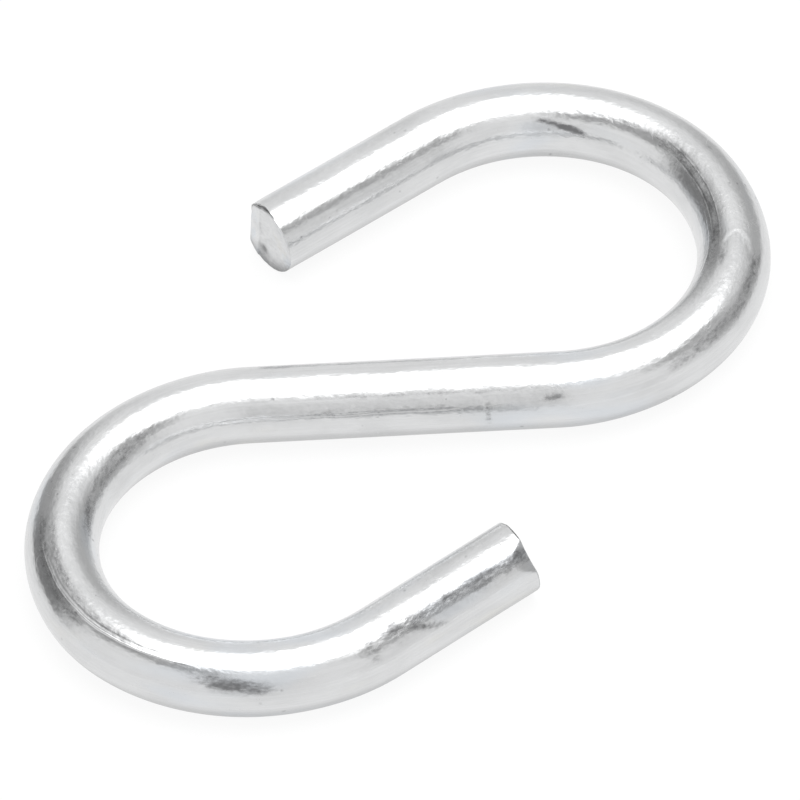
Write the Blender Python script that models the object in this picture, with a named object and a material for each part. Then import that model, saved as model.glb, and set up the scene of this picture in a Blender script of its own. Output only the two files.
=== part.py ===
"""Open S-hook for a trailer safety chain: one round steel bar, cold-bent in one plane.

The S lies flat in the XY plane with its underside at Z = 0. +X runs along the load line, the line
through the two places where a pull seats in the hook, towards the hitch end. The origin is under the
centre of the hook's outline. Units are metres and degrees.
"""

import math

import bmesh
import bpy
from mathutils import Matrix, Vector

# Driving dimensions
BAR_DIAMETER = 0.009525          # 3/8 in round bar
SHANK_LENGTH = 0.03835           # straight stretch between the two loops
SHANK_TO_LOAD_LINE = 51.9        # angle from the load line back to the shank

# Each loop is three bends off the shank, as (centreline radius, angle), and a straight point
HITCH_BENDS = ((0.02298, 95.6), (0.02905, 20.0), (0.02403, 100.5))
HITCH_POINT_LENGTH = 0.02427
CHAIN_BENDS = ((0.02397, 114.3), (0.02141, 23.7), (0.02465, 79.8))
CHAIN_POINT_LENGTH = 0.02218

# Resolution
BAR_SIDES = 24
BEND_STEP = 6.0                  # degrees of bend between two rings

STEEL_COLOUR = (0.78, 0.79, 0.80, 1.0)
STEEL_ROUGHNESS = 0.30


def clear_scene():
    """Remove whatever the scene holds."""
    for item in list(bpy.data.objects):
        bpy.data.objects.remove(item, do_unlink=True)


def zinc_plated_steel():
    """Return the bright zinc finish."""
    material = bpy.data.materials.new("zinc_plated_steel")
    material.use_nodes = True
    shader = material.node_tree.nodes["Principled BSDF"]
    shader.inputs["Base Color"].default_value = STEEL_COLOUR
    shader.inputs["Metallic"].default_value = 1.0
    shader.inputs["Roughness"].default_value = STEEL_ROUGHNESS
    return material


def level(direction):
    """Return the level unit vector that points along an angle in degrees from +X."""
    return Vector((math.cos(math.radians(direction)), math.sin(math.radians(direction)), 0.0))


class BarBender:
    """Feeds a round bar forward in the XY plane and bends it to the left or to the right."""

    def __init__(self, heading):
        """Start a closed bar end at the world's origin, which faces back along heading."""
        self.bm = bmesh.new()
        self.place = Vector((0.0, 0.0, 0.0))
        self.heading = heading
        # A polygon with a side at the bottom, whose sides touch the bar's round section
        corner_radius = BAR_DIAMETER / 2 / math.cos(math.pi / BAR_SIDES)
        made = bmesh.ops.create_circle(
            self.bm, cap_ends=True, segments=BAR_SIDES, radius=corner_radius,
            matrix=Matrix.Rotation(math.radians(heading + 90.0), 4, "Z")
            @ Matrix.Rotation(math.radians(90.0), 4, "X")
            @ Matrix.Rotation(math.pi / BAR_SIDES, 4, "Z"))
        self.ring = list({edge for vert in made["verts"] for edge in vert.link_edges})

    def follow(self, geometry):
        """Take the newest edges of an extrusion or a spin as the ring to go on from."""
        self.ring = [item for item in geometry if isinstance(item, bmesh.types.BMEdge)]

    def feed(self, length):
        """Add a straight stretch."""
        step = level(self.heading) * length
        made = bmesh.ops.extrude_edge_only(self.bm, edges=self.ring)
        ring_verts = [item for item in made["geom"] if isinstance(item, bmesh.types.BMVert)]
        bmesh.ops.translate(self.bm, verts=ring_verts, vec=step)
        edges = [item for item in made["geom"] if isinstance(item, bmesh.types.BMEdge)]
        far_end = set(ring_verts)
        self.follow([edge for edge in edges if set(edge.verts) <= far_end])
        self.place = self.place + step

    def bend(self, radius, angle):
        """Add a bend of a centreline radius, to the left where the angle is positive."""
        side = math.copysign(1.0, angle)
        pivot = self.place + level(self.heading + 90.0 * side) * radius
        made = bmesh.ops.spin(
            self.bm, geom=self.ring, cent=pivot, axis=(0.0, 0.0, 1.0), angle=math.radians(angle),
            steps=max(2, round(abs(angle) / BEND_STEP)), use_merge=False, use_duplicate=False)
        self.follow(made["geom_last"])
        turn = Matrix.Rotation(math.radians(angle), 3, "Z")
        self.place = pivot + turn @ (self.place - pivot)
        self.heading = self.heading + angle

    def cut_off(self):
        """Close the far end and return the bar's mesh."""
        bmesh.ops.contextual_create(self.bm, geom=self.ring)
        bmesh.ops.recalc_face_normals(self.bm, faces=self.bm.faces)
        return self.bm


def bent_bar():
    """Bend the whole hook, from its hitch point to its chain point."""
    hitch_turn = sum(angle for radius, angle in HITCH_BENDS)
    bender = BarBender(180.0 - SHANK_TO_LOAD_LINE + hitch_turn)
    bender.feed(HITCH_POINT_LENGTH)
    for radius, angle in reversed(HITCH_BENDS):
        bender.bend(radius, -angle)
    bender.feed(SHANK_LENGTH)
    for radius, angle in CHAIN_BENDS:
        bender.bend(radius, angle)
    bender.feed(CHAIN_POINT_LENGTH)
    return bender.cut_off()


def set_down(bm):
    """Centre the bar's outline over the origin and stand its underside on Z = 0."""
    lowest = Vector(min(vert.co[axis] for vert in bm.verts) for axis in range(3))
    highest = Vector(max(vert.co[axis] for vert in bm.verts) for axis in range(3))
    middle = (lowest + highest) / 2
    bmesh.ops.translate(bm, verts=bm.verts, vec=(-middle.x, -middle.y, -lowest.z))


def make_s_hook():
    """Make the hook's only piece."""
    bm = bent_bar()
    set_down(bm)
    mesh = bpy.data.meshes.new("s_hook")
    bm.to_mesh(mesh)
    bm.free()
    mesh.shade_smooth()
    mesh.set_sharp_from_angle(angle=math.radians(40.0))
    mesh.materials.append(zinc_plated_steel())
    hook = bpy.data.objects.new("s_hook", mesh)
    bpy.context.scene.collection.objects.link(hook)
    return hook


clear_scene()
make_s_hook()
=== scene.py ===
"""Looks of an open S-hook for a trailer safety chain, on a pale studio table.

The hook is one round bar. It is modelled straight, with its sheared ends and its tool marks, and then
bent. What was true of the straight bar stays on its points as an attribute, so that the drawn grain
follows the bends. Lengths are in metres in the code and in millimetres in the finishes' patterns.
"""

import logging
import math
from dataclasses import dataclass, field
from enum import Enum

import bmesh
import bpy
from mathutils import Matrix, Vector, noise


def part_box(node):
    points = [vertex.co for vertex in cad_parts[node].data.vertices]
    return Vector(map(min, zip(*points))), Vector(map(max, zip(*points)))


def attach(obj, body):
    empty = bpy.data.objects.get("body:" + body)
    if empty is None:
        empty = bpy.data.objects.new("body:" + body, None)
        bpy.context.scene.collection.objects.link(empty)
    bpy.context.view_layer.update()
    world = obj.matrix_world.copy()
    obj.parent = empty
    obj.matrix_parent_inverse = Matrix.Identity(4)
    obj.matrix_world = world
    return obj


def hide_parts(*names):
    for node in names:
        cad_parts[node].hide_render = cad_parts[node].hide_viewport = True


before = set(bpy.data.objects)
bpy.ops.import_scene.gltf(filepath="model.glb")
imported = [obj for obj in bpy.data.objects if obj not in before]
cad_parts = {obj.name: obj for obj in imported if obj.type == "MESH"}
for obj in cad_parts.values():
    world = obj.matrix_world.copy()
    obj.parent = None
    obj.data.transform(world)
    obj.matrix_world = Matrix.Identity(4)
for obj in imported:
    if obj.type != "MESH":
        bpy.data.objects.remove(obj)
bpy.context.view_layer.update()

LOG = logging.getLogger("safety_chain_hook")
MM = 0.001
TOUCHING = 0.001 * MM
PART = "s_hook"


class Surface(Enum):
    """The bar's two kinds of surface, in the order of its material slots."""

    SKIN = 0
    CUT = 1


class Reading(Enum):
    """Attributes that a point keeps from the straight bar. The wear attribute holds the plating's wear and
    also painted shade: dark reflection bands and spots, and shade on the cut faces.
    """

    BAR_SPACE = "bar_space"
    WEAR = "wear"


def smooth_step(low: float, high: float, value: float) -> float:
    """Ease from 0 to 1 as a value goes from low to high.

    Args:
        low: Where the step starts.
        high: Where the step ends; it may be below low.
        value: The value to place on the step.

    Returns:
        The height of the step, from 0 to 1.
    """
    share = min(1.0, max(0.0, (value - low) / (high - low)))
    return share * share * (3.0 - 2.0 * share)


def turn_between(angle: float, other: float) -> float:
    """Return the turn from another angle to this one, from -180 to 180 degrees."""
    return (angle - other + 180.0) % 360.0 - 180.0


def window(start: float, end: float, fade: float, value: float) -> float:
    """Weigh a value by a stretch with soft ends.

    Args:
        start: Start of the stretch.
        end: End of the stretch.
        fade: Length of each soft end, inside the stretch.
        value: The value to weigh.

    Returns:
        1 well inside the stretch and 0 outside it.
    """
    return smooth_step(start, start + fade, value) * smooth_step(end, end - fade, value)


def soft_least(first: float, second: float, blend: float) -> float:
    """Return the smaller of two lengths, rounded over where they are nearly the same.

    Args:
        first: One length.
        second: The other.
        blend: How near they are where the rounding starts.
    """
    near = max(0.0, blend - abs(first - second)) / blend
    return min(first, second) - near * near * blend / 4.0


# ---------------------------------------------------------------------------------------------------
# The bar's route


@dataclass(frozen=True)
class Run:
    """One stretch of the bar's centreline: straight where its angle is 0.

    Attributes:
        size: Length of a straight, or centreline radius of a bend.
        angle: Turn in degrees, to the left where it is positive.
    """

    size: float
    angle: float = 0.0

    @property
    def length(self) -> float:
        """Length along the centreline."""
        return self.size * math.radians(abs(self.angle)) if self.angle else self.size


@dataclass
class Centreline:
    """The route of the bar's centre in the XY plane, from the hitch point to the chain point.

    Attributes:
        shank_angle: Angle from the load line back to the shank, in degrees.
        hitch_point: The straight at the hitch end.
        hitch_bends: Bends of the hitch end's loop, from its point to the shank.
        shank: The straight between the two loops.
        chain_bends: Bends of the chain end's loop, from the shank to its point.
        chain_point: The straight at the chain end.
        shift: Place of the hitch point's end; settle() works it out.
    """

    shank_angle: float = 51.9
    hitch_point: Run = Run(24.27 * MM)
    hitch_bends: tuple[Run, ...] = (
        Run(24.03 * MM, -100.5), Run(29.05 * MM, -20.0), Run(22.98 * MM, -95.6))
    shank: Run = Run(38.35 * MM)
    chain_bends: tuple[Run, ...] = (
        Run(23.97 * MM, 114.3), Run(21.41 * MM, 23.7), Run(24.65 * MM, 79.8))
    chain_point: Run = Run(22.18 * MM)
    shift: Vector = field(default_factory=lambda: Vector((0.0, 0.0, 0.0)))

    def runs(self) -> list[Run]:
        """Return the stretches in order."""
        return [self.hitch_point, *self.hitch_bends, self.shank, *self.chain_bends, self.chain_point]

    @property
    def length(self) -> float:
        """Length of the whole bar."""
        return sum(run.length for run in self.runs())

    def at(self, along: float) -> tuple[Vector, float]:
        """Find a place on the route.

        Args:
            along: Distance from the hitch point's end; it may lie a little outside the bar.

        Returns:
            The place, and the heading there in degrees.
        """
        heading = 180.0 - self.shank_angle - sum(run.angle for run in self.hitch_bends)
        place = self.shift.copy()
        runs = self.runs()
        for index, run in enumerate(runs):
            last = index == len(runs) - 1
            step = along if last else min(along, run.length)
            place, heading = self.advance(place, heading, run, step)
            along -= step
            if along <= 0.0:
                break
        return place, heading

    @staticmethod
    def advance(place: Vector, heading: float, run: Run, step: float) -> tuple[Vector, float]:
        """Go some way along one stretch.

        Args:
            place: Where the stretch starts.
            heading: Heading at its start, in degrees.
            run: The stretch.
            step: How far to go along it.

        Returns:
            The place reached and the heading there.
        """
        ahead = Vector((math.cos(math.radians(heading)), math.sin(math.radians(heading)), 0.0))
        if not run.angle:
            return place + ahead * step, heading
        side = math.copysign(1.0, run.angle)
        to_pivot = Vector((-ahead.y, ahead.x, 0.0)) * side * run.size
        turned = math.copysign(step / run.size, run.angle)
        pivot = place + to_pivot
        return pivot - Matrix.Rotation(turned, 3, "Z") @ to_pivot, heading + math.degrees(turned)

    def bend_starts(self) -> tuple[float, float, float, float]:
        """Return the distances where the hitch loop starts and ends, and the chain loop likewise."""
        hitch_start = self.hitch_point.length
        hitch_end = hitch_start + sum(run.length for run in self.hitch_bends)
        chain_start = hitch_end + self.shank.length
        return hitch_start, hitch_end, chain_start, self.length - self.chain_point.length

    def bend_share(self, along: float, fade: float) -> float:
        """Return how far into a loop a place is, from 0 on a straight to 1, over a fade length."""
        hitch_start, hitch_end, chain_start, chain_end = self.bend_starts()
        return max(window(hitch_start, hitch_end, fade, along), window(chain_start, chain_end, fade, along))

    def settle(self, radius: float) -> None:
        """Place the route so that a bar of a radius lies in the middle of the CAD hook's box.

        Args:
            radius: Radius of the bar.
        """
        low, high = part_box(PART)
        stations = 800
        xs: list[float] = []
        ys: list[float] = []
        for index in range(stations + 1):
            place, heading = self.at(self.length * index / stations)
            left = Vector((-math.sin(math.radians(heading)), math.cos(math.radians(heading)), 0.0))
            for side in (-radius, radius):
                edge = place + left * side
                xs.append(edge.x)
                ys.append(edge.y)
        middle = Vector(((min(xs) + max(xs)) / 2, (min(ys) + max(ys)) / 2, 0.0))
        self.shift += Vector(((low.x + high.x) / 2, (low.y + high.y) / 2, low.z + radius)) - middle


# ---------------------------------------------------------------------------------------------------
# Marks on the bar. Distances run along it from the hitch point, and angles round it from its left side at
# 0, over its top at 90.


@dataclass(frozen=True)
class Mark:
    """A mark on the bar, which changes the bar's radius, wears its plating, or both; the wear of some marks
    is painted shade.
    """

    def press(self, along: float, around: float, radius: float) -> float:
        """Return the change of radius at a place on the bar.

        Args:
            along: Distance along the bar.
            around: Angle round the bar.
            radius: Radius of the bar.
        """
        return 0.0

    def worn(self, along: float, around: float) -> float:
        """Return how worn the plating is at a place on the bar, painted shade included.

        Args:
            along: Distance along the bar.
            around: Angle round the bar.
        """
        return 0.0


@dataclass(frozen=True)
class PressedFlat(Mark):
    """A shallow flat that a clamp's jaw or a bending roller left along the bar.

    Attributes:
        start: Where it starts along the bar.
        end: Where it ends.
        side: Angle round the bar of its middle.
        depth: How deep it is pressed.
        fade: Length over which each of its ends runs out.
    """

    start: float
    end: float
    side: float
    depth: float
    fade: float = 4.0 * MM

    def press(self, along: float, around: float, radius: float) -> float:
        """Return the change of radius at a place on the bar."""
        turn = turn_between(around, self.side)
        if abs(turn) > 50.0:
            return 0.0
        sunk = (radius - self.depth) / math.cos(math.radians(turn)) - radius
        return min(0.0, sunk) * window(self.start, self.end, self.fade, along)


@dataclass(frozen=True)
class WornAndShadedBand(Mark):
    """A band along the bar where tools or handling wore the plating, laid along the dark reflection bands
    beside the highlight, so that its darkening is partly wear and partly painted shade.

    Attributes:
        start: Where it starts along the bar.
        end: Where it ends.
        start_side: Angle round the bar of its middle at its start.
        end_side: The same at its end.
        width: Half its width, in degrees.
        wear: How worn its middle is, with its painted shade, from 0 to 1.
        fade: Share of its length over which each of its ends runs out.
    """

    start: float
    end: float
    start_side: float
    end_side: float
    width: float
    wear: float
    fade: float = 0.18

    def worn(self, along: float, around: float) -> float:
        """Return how worn the plating is at a place on the bar, with the band's painted shade."""
        share = (along - self.start) / (self.end - self.start)
        if not 0.0 < share < 1.0:
            return 0.0
        side = self.start_side + share * (self.end_side - self.start_side)
        near = smooth_step(1.4 * self.width, 0.4 * self.width, abs(turn_between(around, side)))
        return self.wear * near * window(0.0, 1.0, self.fade, share)


@dataclass(frozen=True)
class Dent(Mark):
    """A small dent or a scuffed spot; where its hollow shows a dark reflection, its wear paints that as
    shade.

    Attributes:
        along: Where its middle is along the bar.
        side: Angle round the bar of its middle.
        length: Half its length along the bar.
        width: Half its width round the bar, in degrees.
        depth: How deep it is; a raised spot's is negative.
        wear: How scuffed the plating in it is, with painted shade for the dark reflection in some dents: 1
            where it is worn, and more where it is scraped bare.
        slant: Degrees round the bar that its middle moves per metre along the bar.
        evenness: How far the wear is stronger than the dent, up to the whole wear in its middle.
    """

    along: float
    side: float
    length: float
    width: float
    depth: float = 0.0
    wear: float = 0.0
    slant: float = 0.0
    evenness: float = 1.4

    def share(self, along: float, around: float) -> float:
        """Return 1 at the dent's middle, falling off to 0 away from it."""
        offset = along - self.along
        turn = turn_between(around, self.side + self.slant * offset)
        return math.exp(-(offset / self.length) ** 2 - (turn / self.width) ** 2)

    def press(self, along: float, around: float, radius: float) -> float:
        """Return the change of radius at a place on the bar."""
        return -self.depth * self.share(along, around)

    def worn(self, along: float, around: float) -> float:
        """Return how worn the plating is at a place on the bar, painted shade included."""
        return self.wear * min(1.0, self.evenness * self.share(along, around))


@dataclass(frozen=True)
class KinkMark(Mark):
    """A V-shaped step across the bar, where the bending former's edge bore on it.

    Attributes:
        along: Where the V's point is along the bar.
        side: Angle round the bar of its point.
        spread: Half the angle that it covers, in degrees.
        sweep: How far its feet lie along the bar from its point.
        depth: Depth of the step.
        run_out: Length over which the bar comes back to size.
        lip: Height of the lip before the step, as a share of its depth.
        ramp: Length of the step and of its lip.
        wear: How worn the plating just past the step is.
        pressed_edge: Turns where the step starts to fade and where it has gone, in spreads.
        worn_edge: The same for its wear.
    """

    along: float
    side: float
    spread: float
    sweep: float
    depth: float
    run_out: float
    lip: float = 0.25
    ramp: float = 0.5 * MM
    wear: float = 0.12
    pressed_edge: tuple[float, float] = (0.7, 1.5)
    worn_edge: tuple[float, float] = (0.8, 1.4)

    def on_step(self, along: float, around: float, edge: tuple[float, float]) -> tuple[float, float]:
        """Find a place on the mark.

        Args:
            along: Distance along the bar.
            around: Angle round the bar.
            edge: Turns where the mark starts to fade and where it has gone, in spreads.

        Returns:
            How far past the V it lies, and how much of the mark is there by its turn.
        """
        turn = abs(turn_between(around, self.side)) / self.spread
        fading, gone = edge
        return along - self.along - self.sweep * turn ** 1.5, smooth_step(gone, fading, turn)

    def press(self, along: float, around: float, radius: float) -> float:
        """Return the change of radius at a place on the bar."""
        past, near = self.on_step(along, around, self.pressed_edge)
        if past < 0.0:
            return self.lip * self.depth * near * math.exp(-((past / self.ramp) ** 2))
        step = smooth_step(0.0, self.ramp, past)
        return near * self.depth * (self.lip - (1.0 + self.lip) * step) * math.exp(-past / self.run_out)

    def worn(self, along: float, around: float) -> float:
        """Return how worn the plating is at a place on the bar."""
        past, near = self.on_step(along, around, self.worn_edge)
        return self.wear * near * math.exp(-((past / MM - 1.0) ** 2))


@dataclass(frozen=True)
class ShearedEnd:
    """The end of a bar that a shear blade cut: its blade flattened one side, and its edge is rounded.

    Attributes:
        blade_side: Angle round the bar where the blade came in.
        flat_depth: How deep the blade pressed that side flat at the cut.
        flat_length: How far along the bar the flat runs out.
        reach: How far the cut's middle lies past the point's nominal end.
        lean: Slope of the whole face, to the left and up; a positive one cuts that side back.
        burnish_share: Share of the face, from the blade's side, that the blade rubbed smooth.
        burnish_slope: Slope of the rubbed part, towards the blade's side.
        break_height: Height of the broken part's roughness.
        rim: Radius of the face's edge.
        roll_side: Angle round the bar where the edge is rounded most.
        roll: Radius that the edge has there besides.
        chip: Middle of a chip in the face, left and up, in radii.
        chip_depth: Depth of the chip.
        chip_size: Size of the chip, in radii.
        flat_turn: Half the angle round the bar that the flat may cover.
        flat_blend: Rounding along the flat's edges.
        roll_turn: Turns from roll_side up to which the roll is whole, and at which it has ended.
        grain_waves: Waves per metre in the edge of the rubbed part, and in the broken part.
    """

    blade_side: float
    flat_depth: float
    flat_length: float
    reach: float = 0.0
    lean: tuple[float, float] = (0.0, 0.0)
    burnish_share: float = 0.34
    burnish_slope: float = 0.05
    break_height: float = 0.10 * MM
    rim: float = 0.14 * MM
    roll_side: float = 65.0
    roll: float = 0.45 * MM
    chip: tuple[float, float] = (0.18, -0.52)
    chip_depth: float = 0.16 * MM
    chip_size: float = 0.15
    flat_turn: float = 75.0
    flat_blend: float = 0.10 * MM
    roll_turn: tuple[float, float] = (8.0, 48.0)
    grain_waves: tuple[float, float] = (900.0, 1300.0)

    def flattened(self, depth_in: float, around: float, radius: float) -> float:
        """Return the change of radius that the blade's flat makes.

        Args:
            depth_in: Distance from the cut into the bar.
            around: Angle round the bar.
            radius: Radius of the bar.
        """
        turn = turn_between(around, self.blade_side)
        if abs(turn) > self.flat_turn or depth_in > self.flat_length:
            return 0.0
        depth = self.flat_depth * (1.0 - depth_in / self.flat_length) ** 1.1
        flat = (radius - depth) / math.cos(math.radians(turn))
        return soft_least(flat, radius, self.flat_blend) - radius

    def towards_blade(self, across: Vector, radius: float) -> float:
        """Return how far a point of the face lies past the rubbed part's edge, towards the blade."""
        blade = Vector((math.cos(math.radians(self.blade_side)), math.sin(math.radians(self.blade_side))))
        return across.dot(blade) - radius * (1.0 - 2.0 * self.burnish_share)

    def chipped(self, across: Vector, radius: float) -> float:
        """Return 1 at the chip's middle, falling off to 0 away from it."""
        off_chip = (across - Vector(self.chip) * radius).length / (self.chip_size * radius)
        return math.exp(-off_chip * off_chip)

    def tarnish(self, across: Vector, radius: float) -> float:
        """Return how dull a point of the face is, painted shade included: 0 where it is rubbed, and most in
        the chip; a painted dark line follows the rubbed part's edge, and painted shade darkens the lower rim.
        """
        past_edge = self.towards_blade(across, radius)
        torn = 0.28 * smooth_step(0.05 * MM, -0.2 * MM, past_edge)
        # Painted shade: a dark line along the edge of the rubbed part.
        painted_crease_shade = 0.28 * math.exp(-((past_edge / (0.16 * MM)) ** 2))
        # Painted shade: darker towards the lower part of the face's rim.
        near_rim = smooth_step(0.62, 0.98, across.length / radius)
        painted_rim_shade = 0.50 * near_rim * smooth_step(0.2, -0.9, across.y / radius)
        return min(1.0, torn + painted_crease_shade + painted_rim_shade + 0.75 * self.chipped(across, radius))

    def cut_back(self, across: Vector, radius: float) -> float:
        """Return how far behind the nominal cut a point of the face lies.

        Args:
            across: The point's place in the bar's section, left and up.
            radius: Radius of the bar.
        """
        edge_waves, break_waves = self.grain_waves
        waver = 0.10 * MM * noise.noise(Vector((across.x, across.y, 3.0)) * edge_waves)
        past_edge = self.towards_blade(across, radius) + waver
        broken = smooth_step(0.05 * MM, -0.15 * MM, past_edge)
        rough = noise.fractal(Vector((across.x, across.y, 7.0)) * break_waves, 0.9, 2.1, 5)
        burnished = self.burnish_slope * max(0.0, past_edge)
        leaned = self.lean[0] * across.x + self.lean[1] * across.y
        torn = broken * (0.09 * MM + self.break_height * (0.5 + rough) * 0.5)
        return burnished + leaned + torn + self.chip_depth * self.chipped(across, radius) - self.reach

    def rounded(self, from_rim: float, around: float) -> float:
        """Return how far the face's rounded edge lies behind the face.

        Args:
            from_rim: Distance in from the rim.
            around: Angle round the bar.
        """
        whole, ended = self.roll_turn
        rim = self.rim + self.roll * smooth_step(ended, whole, abs(turn_between(around, self.roll_side)))
        if from_rim >= rim:
            return 0.0
        return rim - math.sqrt(max(0.0, rim ** 2 - (rim - from_rim) ** 2))


# ---------------------------------------------------------------------------------------------------
# Shader patterns, in millimetres of bar space


class Nodes:
    """Adds nodes to a tree, with short calls for those that the finishes use most."""

    def __init__(self, tree: bpy.types.NodeTree) -> None:
        """Work on one node tree."""
        self.tree = tree

    def add(self, kind: str, inputs: dict | None = None, **settings: object) -> bpy.types.Node:
        """Add a node.

        Args:
            kind: The node's type.
            inputs: Values or sockets to link, by input name or number.
            settings: The node's own settings.

        Returns:
            The node.
        """
        node = self.tree.nodes.new(kind)
        for name, value in settings.items():
            setattr(node, name, value)
        for key, value in (inputs or {}).items():
            self.feed(node.inputs[key], value)
        return node

    def feed(self, socket: bpy.types.NodeSocket, value: object) -> None:
        """Link a socket to another, or set its value."""
        if isinstance(value, bpy.types.NodeSocket):
            self.tree.links.new(value, socket)
        else:
            socket.default_value = value

    def math(self, operation: str, *values: object) -> bpy.types.NodeSocket:
        """Return the result of a Math node."""
        node = self.add("ShaderNodeMath", dict(enumerate(values)), operation=operation)
        return node.outputs[0]

    def vector(self, operation: str, *values: object, output: int = 0) -> bpy.types.NodeSocket:
        """Return the result of a Vector Math node."""
        node = self.add("ShaderNodeVectorMath", dict(enumerate(values)), operation=operation)
        return node.outputs[output]

    def ramp(self, value: object, low: object, high: object, to_low: float = 0.0,
             to_high: float = 1.0) -> bpy.types.NodeSocket:
        """Return a value eased from one range to another."""
        node = self.add("ShaderNodeMapRange", {"Value": value, "From Min": low, "From Max": high,
                                               "To Min": to_low, "To Max": to_high},
                        interpolation_type="SMOOTHSTEP")
        return node.outputs["Result"]

    def turn_off(self, angle: object, other: object) -> bpy.types.NodeSocket:
        """Return how far an angle in degrees is from another, either way round."""
        off = self.math("WRAP", self.math("SUBTRACT", angle, other), 180.0, -180.0)
        return self.math("ABSOLUTE", off)

    def sunk(self, mask: object, depth: object) -> bpy.types.NodeSocket:
        """Return the height of a mask that is sunk to a depth."""
        return self.math("MULTIPLY", mask, self.math("MULTIPLY", depth, -1.0))

    def mix(self, share: object, first: object, second: object) -> bpy.types.NodeSocket:
        """Return a mix of two colours; their sockets go by number, because their names repeat."""
        node = self.add("ShaderNodeMix", data_type="RGBA")
        self.feed(node.inputs["Factor"], share)
        self.feed(node.inputs[6], first)
        self.feed(node.inputs[7], second)
        return node.outputs[2]

    def stretched_noise(self, place: object, stretch: tuple[float, float, float], detail: float,
                        roughness: float = 0.55) -> bpy.types.NodeSocket:
        """Return noise with its own number of waves per millimetre in each direction."""
        scaled = self.vector("MULTIPLY", place, stretch)
        node = self.add("ShaderNodeTexNoise",
                        {"Vector": scaled, "Scale": 1.0, "Detail": detail, "Roughness": roughness})
        return node.outputs["Fac"]


class PatternGroup:
    """A shader node group, built once and placed in each finish with its own values.

    Subclasses draw their pattern. It may use their own further values, which all uses share.

    Attributes:
        name: The group's name.
        numbers: Its inputs besides the place, each with the value that it has unless a finish gives one.
        outputs: Its outputs.
    """

    name: str = ""
    numbers: dict[str, float] = {}
    outputs: tuple[str, ...] = ()

    def group(self) -> bpy.types.NodeTree:
        """Return the group's tree, and build it on the first call."""
        if self.name in bpy.data.node_groups:
            return bpy.data.node_groups[self.name]
        tree = bpy.data.node_groups.new(self.name, "ShaderNodeTree")
        tree.interface.new_socket("Place", in_out="INPUT", socket_type="NodeSocketVector")
        for label, value in self.numbers.items():
            socket = tree.interface.new_socket(label, in_out="INPUT", socket_type="NodeSocketFloat")
            socket.default_value = value
        for label in self.outputs:
            tree.interface.new_socket(label, in_out="OUTPUT", socket_type="NodeSocketFloat")
        nodes = Nodes(tree)
        given = nodes.add("NodeGroupInput").outputs
        result = nodes.add("NodeGroupOutput")
        for label, socket in self.draw(nodes, given).items():
            nodes.feed(result.inputs[label], socket)
        return tree

    def draw(self, nodes: Nodes, given: bpy.types.NodeOutputs) -> dict[str, bpy.types.NodeSocket]:
        """Build the pattern.

        Args:
            nodes: Adds nodes to the group's tree.
            given: The group's inputs.

        Returns:
            The socket for each of the group's outputs.
        """
        raise NotImplementedError

    def use(self, nodes: Nodes, place: bpy.types.NodeSocket, **values: object) -> bpy.types.NodeOutputs:
        """Place the group in a finish.

        Args:
            nodes: Adds nodes to the finish's tree.
            place: The place in millimetres of bar space.
            values: Inputs by name, with _ for a space.

        Returns:
            The placed group's outputs.
        """
        node = nodes.add("ShaderNodeGroup", node_tree=self.group())
        nodes.feed(node.inputs["Place"], place)
        for label, value in values.items():
            nodes.feed(node.inputs[label.replace("_", " ")], value)
        return node.outputs


class DrawnGrain(PatternGroup):
    """Fine lines along the bar from the die that it was drawn through.

    Attributes:
        along_waves: Waves per millimetre along the lines.
        across_waves: Waves per millimetre across them.
        faded: Share of their height that the lines keep where they fade out.
    """

    name = "drawn_grain"
    numbers = {"Depth": 1.0}
    outputs = ("Height", "Lines")
    along_waves: float = 0.045
    across_waves: float = 4.0
    faded: float = 0.35

    def draw(self, nodes: Nodes, given: bpy.types.NodeOutputs) -> dict[str, bpy.types.NodeSocket]:
        """Build coarse and fine lines and fade them in and out along the bar."""
        stretch = (self.along_waves, self.across_waves, self.across_waves)
        lines = nodes.stretched_noise(given["Place"], stretch, 4.0, 0.62)
        patches = nodes.stretched_noise(given["Place"], (0.06, 0.5, 0.5), 2.0)
        shown = nodes.ramp(patches, 0.38, 0.62, self.faded, 1.0)
        height = nodes.math("MULTIPLY", nodes.math("SUBTRACT", lines, 0.5), shown)
        return {"Height": nodes.math("MULTIPLY", height, given["Depth"]),
                "Lines": nodes.ramp(lines, 0.30, 0.70)}


class WavySkin(PatternGroup):
    """The slightly uneven skin of a rolled bar, which makes reflections' edges ragged.

    Attributes:
        long_share: Height of the longest waves, beside the middle ones.
        ripple_share: Height of the shortest, likewise.
    """

    name = "wavy_skin"
    numbers = {"Depth": 1.0}
    outputs = ("Height",)
    long_share: float = 1.3
    ripple_share: float = 0.20

    def draw(self, nodes: Nodes, given: bpy.types.NodeOutputs) -> dict[str, bpy.types.NodeSocket]:
        """Build long shallow waves with smaller ones on them."""
        long_waves = nodes.stretched_noise(given["Place"], (0.20, 0.42, 0.42), 1.0)
        waves = nodes.stretched_noise(given["Place"], (0.85, 1.35, 1.35), 1.5)
        ripples = nodes.stretched_noise(given["Place"], (2.1, 3.0, 3.0), 1.0)
        total = nodes.math("ADD", nodes.math("MULTIPLY", long_waves, self.long_share), waves)
        total = nodes.math("ADD", total, nodes.math("MULTIPLY", ripples, self.ripple_share))
        return {"Height": nodes.math("MULTIPLY", total, given["Depth"])}


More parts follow.
